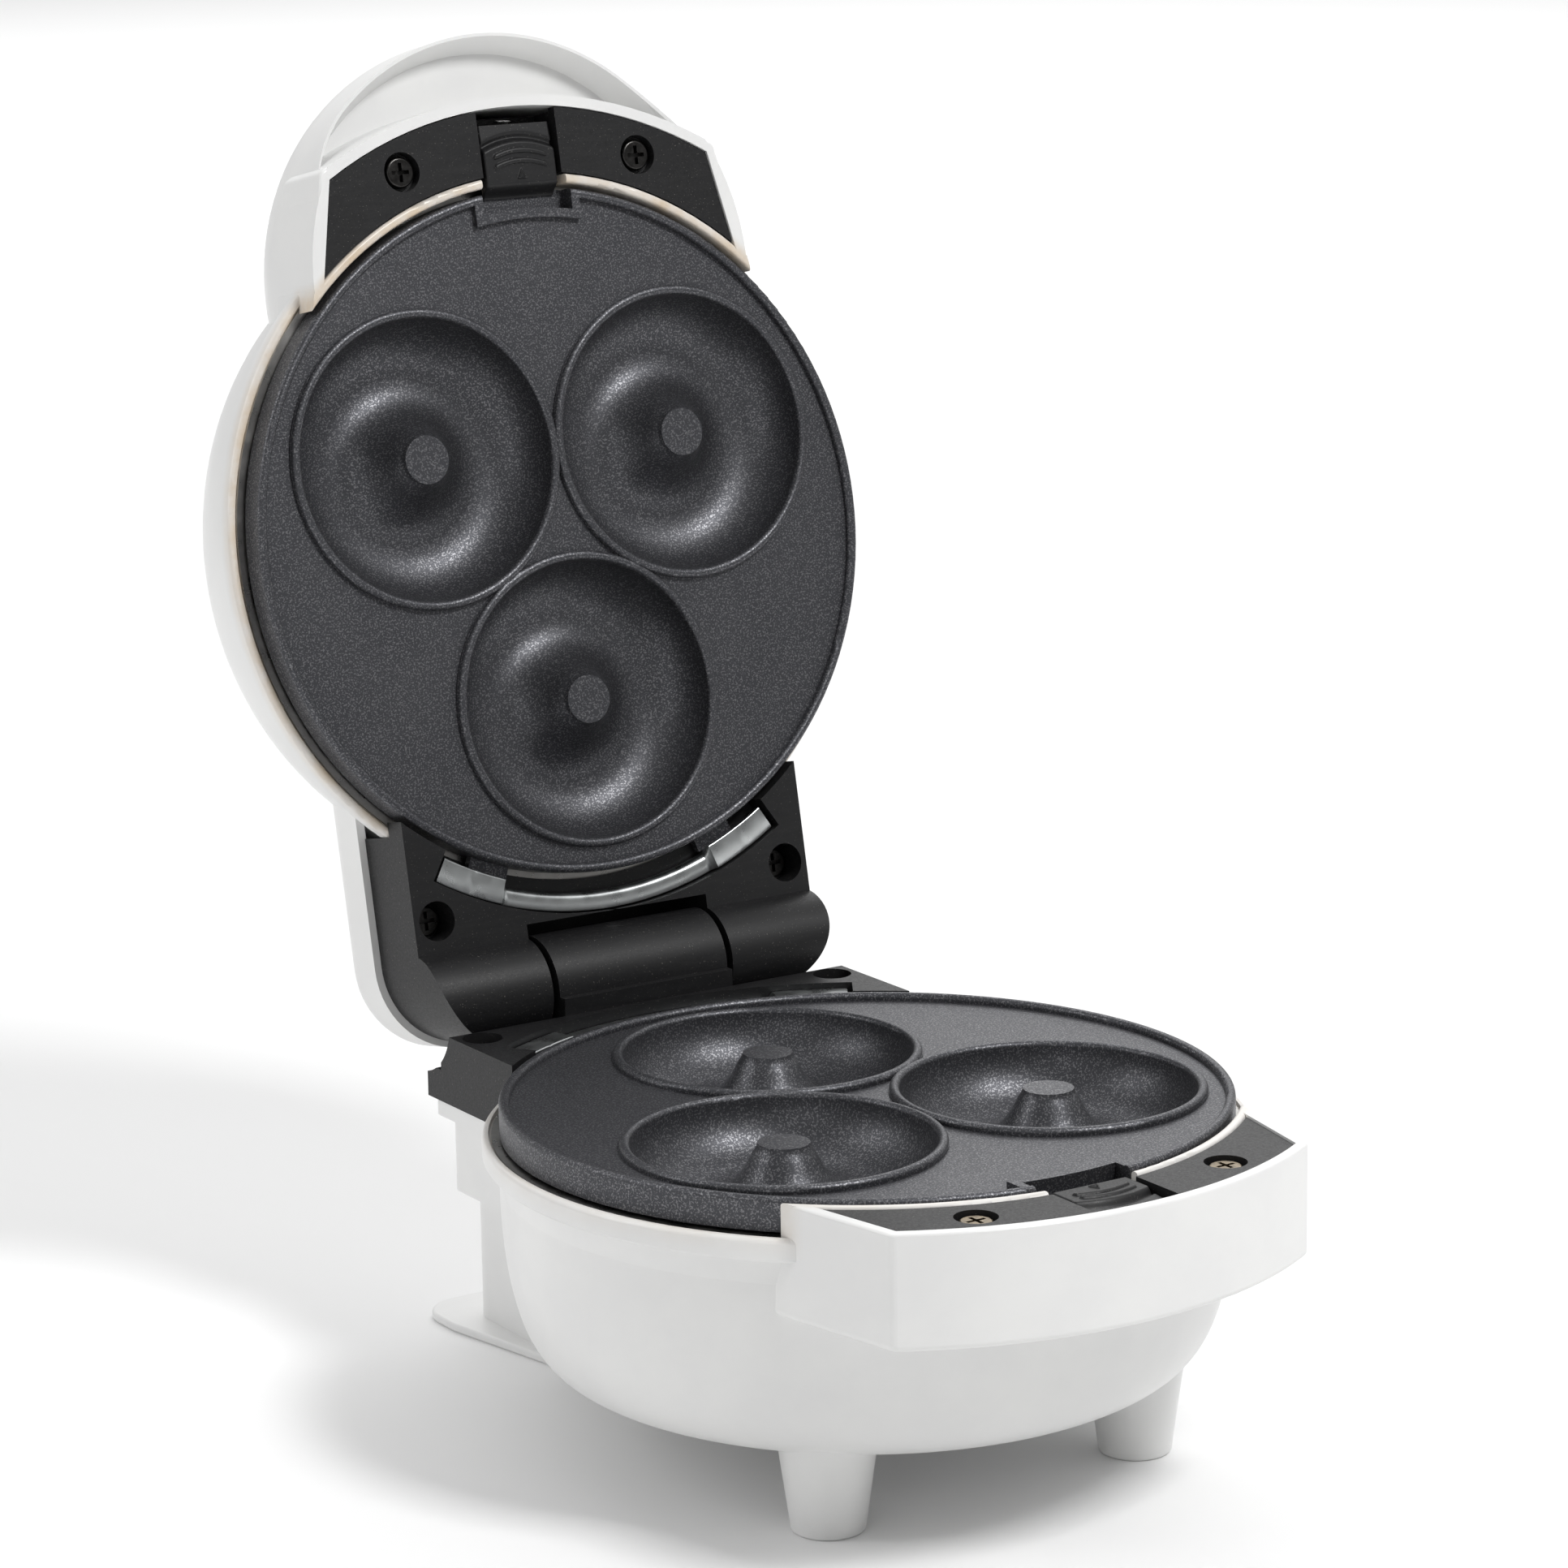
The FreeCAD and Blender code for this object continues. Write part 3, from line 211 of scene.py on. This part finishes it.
def black_phenolic(name, space):
    """Dull black moulding with faint streaks and a few pale specks."""
    m = Shade(name, space)
    fine = m.noise(1.6, 4.0, 0.7)
    streak = m.noise(0.5, 4.0, 0.7, stretch=(0.12, 1.0, 0.6))
    specks = m.ramp(m.noise(2.4, 1.0, 0.4), 0.70, 0.76)
    base = m.mix(m.ramp(streak, 0.4, 0.75), (0.0075, 0.0075, 0.0082), (0.0115, 0.0113, 0.0119))
    base = m.mix(m.math("MULTIPLY", specks, 0.22), base, (0.35, 0.33, 0.30))
    m.set(Base_Color=base, Roughness=m.ramp(fine, 0.3, 0.75, 0.40, 0.54), IOR=1.5)
    m.bsdf.inputs["Specular IOR Level"].default_value = 0.36
    m.set(Normal=m.bump(fine, 0.03 * MM, 0.25))
    return m.material


def metal(name, space, color, rough, patchy=0.15, scale=0.25):
    """Bare metal with a cloudy tone: patchy is its depth, scale its fineness per millimetre."""
    m = Shade(name, space)
    cloud = m.ramp(m.noise(scale, 5.0, 0.65), 0.3, 0.7)
    dark = tuple(c * (1.0 - patchy) for c in color)
    m.set(Base_Color=m.mix(cloud, dark, color), Metallic=1.0)
    m.set(Roughness=m.ramp(m.noise(0.2, 3.0), 0.3, 0.7, rough * 0.88, rough * 1.15))
    return m.material


def plain_moulding(name, space, color, rough):
    """A matt moulding, ceramic or sleeve of one colour."""
    m = Shade(name, space)
    cloud = m.ramp(m.noise(0.3, 4.0, 0.6), 0.3, 0.7)
    darker = tuple(c * 0.88 for c in color)
    m.set(Base_Color=m.mix(cloud, darker, color))
    m.set(Roughness=m.ramp(m.noise(1.1), 0.3, 0.7, rough * 0.9, rough * 1.15))
    m.set(Normal=m.bump(m.noise(1.5, 3.0), 0.02 * MM, 0.2))
    return m.material


def lens(name, space, color):
    """Glossy coloured cap of an indicator lamp."""
    m = Shade(name, space)
    cloud = m.ramp(m.noise(0.4, 2.0), 0.3, 0.7)
    m.set(Base_Color=m.mix(cloud, tuple(c * 0.8 for c in color), color), Roughness=0.12, IOR=1.49)
    m.bsdf.inputs["Coat Weight"].default_value = 0.6
    return m.material


def finishes(space, side):
    """All finishes of one body, their patterns laid out in that body's own plate frame."""
    end = "_" + side
    return {
        "white": white_plastic("white" + end, space, 1.0 if side == "lid" else 0.35),
        "coat": nonstick("coat" + end, space),
        "black": black_phenolic("black" + end, space),
        "zinc": metal("zinc" + end, space, (0.56, 0.58, 0.58), 0.30, 0.10, 0.10),
        "bright": metal("bright" + end, space, (0.50, 0.49, 0.47), 0.30),
        "sheath": metal("sheath" + end, space, (0.24, 0.22, 0.20), 0.42, 0.4),
        "steel": metal("steel" + end, space, (0.55, 0.55, 0.54), 0.25),
        "dark_screw": metal("dark_screw" + end, space, (0.060, 0.058, 0.056), 0.30, 0.4, 0.8),
        "brass_screw": metal("brass_screw" + end, space, (0.30, 0.24, 0.16), 0.34, 0.5, 0.8),
        "cream_block": plain_moulding("cream_block" + end, space, (0.66, 0.60, 0.48), 0.5),
        "rubber": plain_moulding("rubber" + end, space, (0.02, 0.02, 0.02), 0.6),
        "sleeve": plain_moulding("sleeve" + end, space, (0.68, 0.64, 0.55), 0.8),
        "red": lens("red" + end, space, (0.55, 0.02, 0.015)),
        "green": lens("green" + end, space, (0.03, 0.36, 0.10)),
    }


BASE = finishes(TO_ROW, "base")
LID = finishes(LID_TO_ROW, "lid")
FINISH_OF_SLOT = {
    "white_plastic": "white", "black_plastic": "black", "nonstick": "coat", "reflector_metal": "bright",
    "element_metal": "sheath", "zinc": "zinc", "screw_dark": "dark_screw", "screw_plated": "brass_screw",
    "spring_steel": "steel", "pin_steel": "steel", "ceramic_cream": "cream_block", "gland_black": "rubber",
    "wire_sleeve": "sleeve", "lens_red": "red", "lens_green": "green", "lamp_glass": "cream_block",
}
LID_BODIES = ("lid", "upper_latch")
slots = {entry["node"]: entry["material_slot"] for entry in frame["record"]["subparts"]}
for body, members in frame["record"]["behaviour"]["bodies"].items():
    palette = LID if body in LID_BODIES else BASE
    for name in members:
        NODES[name].data.materials.clear()
        NODES[name].data.materials.append(palette[FINISH_OF_SLOT[slots[name]]])


# ---- mesh helpers ------------------------------------------------------------------------------
TURNED_OVER = Matrix.Rotation(math.pi, 4, "Y")
LID_SHARED = LID_TO_ROW @ TURNED_OVER


def new_piece(name, verts, faces, to_row, material, body, nodes, smooth_angle=35.0):
    """A mesh piece given in plate-frame millimetres, placed on its body and standing for CAD nodes."""
    mesh = bpy.data.meshes.new(name)
    mesh.from_pydata([to_row @ Vector(v) for v in verts], [], faces)
    build = bmesh.new()
    build.from_mesh(mesh)
    bmesh.ops.remove_doubles(build, verts=build.verts, dist=1e-7)
    bmesh.ops.recalc_face_normals(build, faces=build.faces)
    limit = math.radians(smooth_angle)
    for face in build.faces:
        face.smooth = True
    for edge in build.edges:
        edge.smooth = len(edge.link_faces) == 2 and edge.calc_face_angle(0.0) < limit
    build.to_mesh(mesh)
    build.free()
    mesh.materials.append(material)
    piece = bpy.data.objects.new(name, mesh)
    bpy.context.scene.collection.objects.link(piece)
    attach(piece, body)
    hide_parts(*nodes)
    return piece


def smooth_step(value, low, high):
    t = min(max((value - low) / (high - low), 0.0), 1.0)
    return t * t * (3 - 2 * t)


def height_block(xs, ys, top, floor):
    """A closed block under a height field: its vertices and faces."""
    nx, ny = len(xs), len(ys)
    verts = [(x, y, top(x, y)) for x in xs for y in ys]
    verts += [(x, y, floor(x, y)) for x in xs for y in ys]
    lower = nx * ny
    faces = []
    for i in range(nx - 1):
        for j in range(ny - 1):
            a = i * ny + j
            quad = (a, a + ny, a + ny + 1, a + 1)
            faces.append(quad)
            faces.append(tuple(lower + v for v in reversed(quad)))
    for i in range(nx - 1):
        for j in (0, ny - 1):
            a = i * ny + j
            faces.append((a, a + ny, lower + a + ny, lower + a))
    for j in range(ny - 1):
        for i in (0, nx - 1):
            a = i * ny + j
            faces.append((a, a + 1, lower + a + 1, lower + a))
    return verts, faces


def spaced(low, high, count):
    return [low + (high - low) * index / (count - 1) for index in range(count)]


# ---- latch slider ------------------------------------------------------------------------------
LATCH_HALF = 10.3
LATCH_OUT = -103.5
LATCH_TIP = -85.0
PAD_Z = -1.25
RIB_MIDDLES = (-96.7, -94.1)
RIB_HALF = 7.0
RIB_SAG = 1.3
RIB_WIDTH = 0.7
RIB_RISE = 0.55
TRIANGLE_RISE = 0.34


def rib_height(x, y, middle):
    """A rounded rib along a shallow arc."""
    if abs(x) > RIB_HALF + RIB_WIDTH:
        return 0.0
    centre = middle + RIB_SAG * (x / RIB_HALF) ** 2
    across = (y - centre) / RIB_WIDTH
    along = max(abs(x) - RIB_HALF, 0.0) / RIB_WIDTH
    reach = across * across + along * along
    return RIB_RISE * math.sqrt(max(1.0 - reach, 0.0))


def triangle_height(x, y):
    """A small raised outline of a triangle that points outward."""
    low, tall, half = -89.6, 2.2, 1.15
    inside = (y - low) * -1.0
    if inside < -0.1 or inside > tall + 0.2:
        return 0.0
    edge = half * (1.0 - inside / tall)
    gap = abs(abs(x) - edge)
    line = max(0.0, 1.0 - (gap / 0.26) ** 2) if inside > 0 else 0.0
    base = max(0.0, 1.0 - (inside / 0.24) ** 2) if abs(x) < half + 0.1 else 0.0
    return TRIANGLE_RISE * max(line, base)


def latch_top(x, y):
    """Height of the slider's top: outer flat, curved step, pad with its ribs, and rounded nose."""
    step_y = -100.2 + 2.4 * (x / 10.4) ** 2
    outer = -2.7 + 0.10 * (y - LATCH_OUT)
    groove = -0.75 * math.exp(-((y - step_y) / 0.75) ** 2)
    rise = smooth_step(y, step_y + 0.2, step_y + 1.7)
    z = outer + (PAD_Z - outer) * rise + groove
    for middle in RIB_MIDDLES:
        z += rib_height(x, y, middle)
    z += triangle_height(x, y)
    fall = smooth_step(y, -88.6, LATCH_TIP)
    z -= 3.1 * fall
    side = max(abs(x) - (LATCH_HALF - 0.5), 0.0) / 0.5
    z -= 0.45 * side * side
    return z


def make_latch(name, to_row, palette, body, node):
    """The plate-release slider with its spring leg."""
    xs = spaced(-LATCH_HALF, LATCH_HALF, 116)
    ys = spaced(LATCH_OUT, LATCH_TIP, 118)
    verts, faces = height_block(xs, ys, latch_top, lambda x, y: -5.35 if y < -88.9 else -4.7)
    leg_x, leg_low, leg_high = 4.0, -9.7, -5.3
    start = len(verts)
    for z in (leg_low, leg_high):
        verts += [(-leg_x, -96.4, z), (leg_x, -96.4, z), (leg_x, -94.1, z), (-leg_x, -94.1, z)]
    faces += [tuple(start + i for i in f) for f in
              ((0, 1, 2, 3), (4, 5, 6, 7), (0, 1, 5, 4), (1, 2, 6, 5), (2, 3, 7, 6), (3, 0, 4, 7))]
    new_piece(name, verts, faces, to_row, palette["black"], body, [node], 40.0)


make_latch("lower_latch_slider", TO_ROW, BASE, "lower_latch", "base_latch")
make_latch("upper_latch_slider", LID_SHARED, LID, "upper_latch", "lid_latch")


# ---- latch spring ------------------------------------------------------------------------------
def coil(radius, wire, start, end, turns, height, sides=10, steps=28):
    """A closed tube along a helix about the Y direction: its vertices and faces."""
    count = turns * steps + 1
    verts = []
    for index in range(count):
        angle = 2 * math.pi * index / steps
        y = start + (end - start) * index / (count - 1)
        outward = Vector((math.cos(angle), 0.0, math.sin(angle)))
        for side in range(sides):
            around = 2 * math.pi * side / sides
            place = outward * (radius + wire * math.cos(around))
            verts.append((place.x, y + wire * math.sin(around), height + place.z))
    faces = []
    for index in range(count - 1):
        for side in range(sides):
            after = (side + 1) % sides
            faces.append((index * sides + side, (index + 1) * sides + side,
                          (index + 1) * sides + after, index * sides + after))
    faces.append(tuple(range(sides)))
    faces.append(tuple((count - 1) * sides + side for side in reversed(range(sides))))
    return verts, faces


def make_spring(name, to_row, palette, body, node):
    """The return spring, which in the real thing shortens as its slider is pushed out; here it is one fixed
    coil.
    """
    wall_y, height = -105.3, -8.2
    verts, faces = coil(2.2, 0.33, -104.9, -97.0, 6, height)
    piece = new_piece(name, verts, faces, to_row, palette["steel"], body, [node], 60.0)
    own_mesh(piece)


make_spring("lower_latch_coil", TO_ROW, BASE, "base", "base_latch_spring")
make_spring("upper_latch_coil", LID_SHARED, LID, "lid", "lid_latch_spring")


# ---- plate bracket -------------------------------------------------------------------------------
def bracket_section(blend):
    """Outline of the bent strip: blend 0 is the recessed middle, 1 the raised end."""
    inner = 92.1 + (90.2 - 92.1) * blend
    level = -3.35 + 1.65 * blend
    bend = 1.7 * (1.0 - blend) + 0.5 * blend
    drop = 1.9 * (1.0 - blend) + 1.0 * blend
    upper = [(inner, level - bend - drop + 0.6)]
    for index in range(7):
        angle = math.radians(180 - 15 * index)
        upper.append((inner + bend + bend * math.cos(angle), level - bend + bend * math.sin(angle)))
    upper.append((96.4, level))
    upper.append((96.7, level - 0.15))
    upper.append((96.75, level - 0.85))
    lower = [(inner + bend + 0.6, level - 1.0), (inner + 1.0, level - bend - 0.5)]
    return upper + lower + [(inner + 1.0, level - bend - drop + 0.6)]


BRACKET_STEP_ANGLES = (18.6, 19.6)
BRACKET_CREASE_ANGLE = 25.4


def make_bracket(name, to_row, palette, body, node):
    """The bent zinc strip behind the plate, swept along its arc."""
    angles = [index * 0.5 for index in range(-62, 63)]
    rings = []
    for angle in angles:
        blend = smooth_step(abs(angle), *BRACKET_STEP_ANGLES)
        crease = 0.16 * math.exp(-((abs(angle) - BRACKET_CREASE_ANGLE) / 0.45) ** 2)
        a = math.radians(90 + angle)
        rings.append([(r * math.cos(a), r * math.sin(a), z - crease) for r, z in bracket_section(blend)])
    count = len(rings[0])
    verts = [v for ring_ in rings for v in ring_]
    faces = []
    for i in range(len(rings) - 1):
        for j in range(count):
            k = (j + 1) % count
            faces.append((i * count + j, (i + 1) * count + j, (i + 1) * count + k, i * count + k))
    faces.append(tuple(range(count)))
    faces.append(tuple((len(rings) - 1) * count + j for j in reversed(range(count))))
    new_piece(name, verts, faces, to_row, palette["zinc"], body, [node], 40.0)


make_bracket("lower_plate_bracket", TO_ROW, BASE, "base", "base_bracket")
make_bracket("upper_plate_bracket", LID_SHARED, LID, "lid", "lid_bracket")


# ---- camera ------------------------------------------------------------------------------------
AZIMUTH = math.radians(-32.866)
ELEVATION = math.radians(12.817)
ROLL = math.radians(-0.864)
DISTANCE = 1146.452
SHIFT_X = 19.518
SHIFT_Y = -71.862
LENS = 111.29

back = Vector((math.sin(AZIMUTH) * math.cos(ELEVATION), -math.cos(AZIMUTH) * math.cos(ELEVATION),
               math.sin(ELEVATION)))
level = Vector((math.cos(AZIMUTH), math.sin(AZIMUTH), 0.0))
upright = back.cross(level)
right = level * math.cos(ROLL) + upright * math.sin(ROLL)
up = upright * math.cos(ROLL) - level * math.sin(ROLL)
spot = back * DISTANCE - right * SHIFT_X - up * SHIFT_Y
camera_data = bpy.data.cameras.new("camera")
camera_data.lens = LENS
camera_data.sensor_width = 36.0
camera_data.clip_start = 0.05
camera_data.clip_end = 30.0
camera = bpy.data.objects.new("camera", camera_data)
facing = Matrix((right, up, back)).transposed().to_4x4()
camera.matrix_world = Matrix.Translation(row(*spot)) @ facing
bpy.context.scene.collection.objects.link(camera)
bpy.context.scene.camera = camera


# ---- floor and light -----------------------------------------------------------------------
def make_floor():
    """A wide plain pale floor."""
    mesh = bpy.data.meshes.new("floor")
    build = bmesh.new()
    reach = 9.0
    corners = [build.verts.new(c) for c in ((-reach, -reach, 0), (reach, -reach, 0), (reach, reach, 0),
                                            (-reach, reach, 0))]
    build.faces.new(corners)
    build.to_mesh(mesh)
    build.free()
    floor = bpy.data.objects.new("floor", mesh)
    bpy.context.scene.collection.objects.link(floor)
    shade = Shade("floor")
    shade.set(Roughness=0.9, Base_Color=(0.88, 0.88, 0.88, 1.0))
    shade.bsdf.inputs["Specular IOR Level"].default_value = 0.1
    mesh.materials.append(shade.material)


def area_light(name, place, target, size, power, size_y=None):
    """A soft rectangular light aimed at a point, in metres and watts."""
    data = bpy.data.lights.new(name, "AREA")
    data.shape = "RECTANGLE"
    data.size = size
    data.size_y = size_y or size
    data.energy = power
    lamp = bpy.data.objects.new(name, data)
    lamp.location = place
    direction = Vector(target) - Vector(place)
    lamp.rotation_euler = direction.to_track_quat("-Z", "Y").to_euler()
    bpy.context.scene.collection.objects.link(lamp)


make_floor()
area_light("key", (0.34, -0.95, 1.40), (0, 0, 0.12), 0.36, 16.0)
area_light("left", (-1.22, 0.52, 0.85), (0, 0, 0.12), 0.30, 4.0, 0.9)
area_light("front_left", (-1.3, -1.1, 0.6), (0, 0, 0.12), 0.9, 3.0)
area_light("backdrop", (1.9, 2.9, 2.3), (1.9, 2.95, 0.0), 4.4, 95.0)
world = bpy.data.worlds.new("studio")
bpy.context.scene.world = world
world.use_nodes = True
sky = world.node_tree
direction = sky.nodes.new("ShaderNodeTexCoord")
toward_back = sky.nodes.new("ShaderNodeVectorMath")
toward_back.operation = "DOT_PRODUCT"
toward_back.inputs[1].default_value = (0.45, 0.75, 0.35)
sky.links.new(direction.outputs["Generated"], toward_back.inputs[0])
spread = sky.nodes.new("ShaderNodeMapRange")
spread.interpolation_type = "SMOOTHSTEP"
spread.inputs["From Min"].default_value = -0.3
spread.inputs["From Max"].default_value = 0.30
spread.inputs["To Min"].default_value = 0.16
spread.inputs["To Max"].default_value = 0.66
sky.links.new(toward_back.outputs["Value"], spread.inputs["Value"])
sky.links.new(spread.outputs["Result"], sky.nodes["Background"].inputs["Strength"])
sky.nodes["Background"].inputs["Color"].default_value = (1.0, 1.0, 1.0, 1.0)
bpy.context.scene.view_settings.view_transform = "Standard"

bpy.context.view_layer.update()
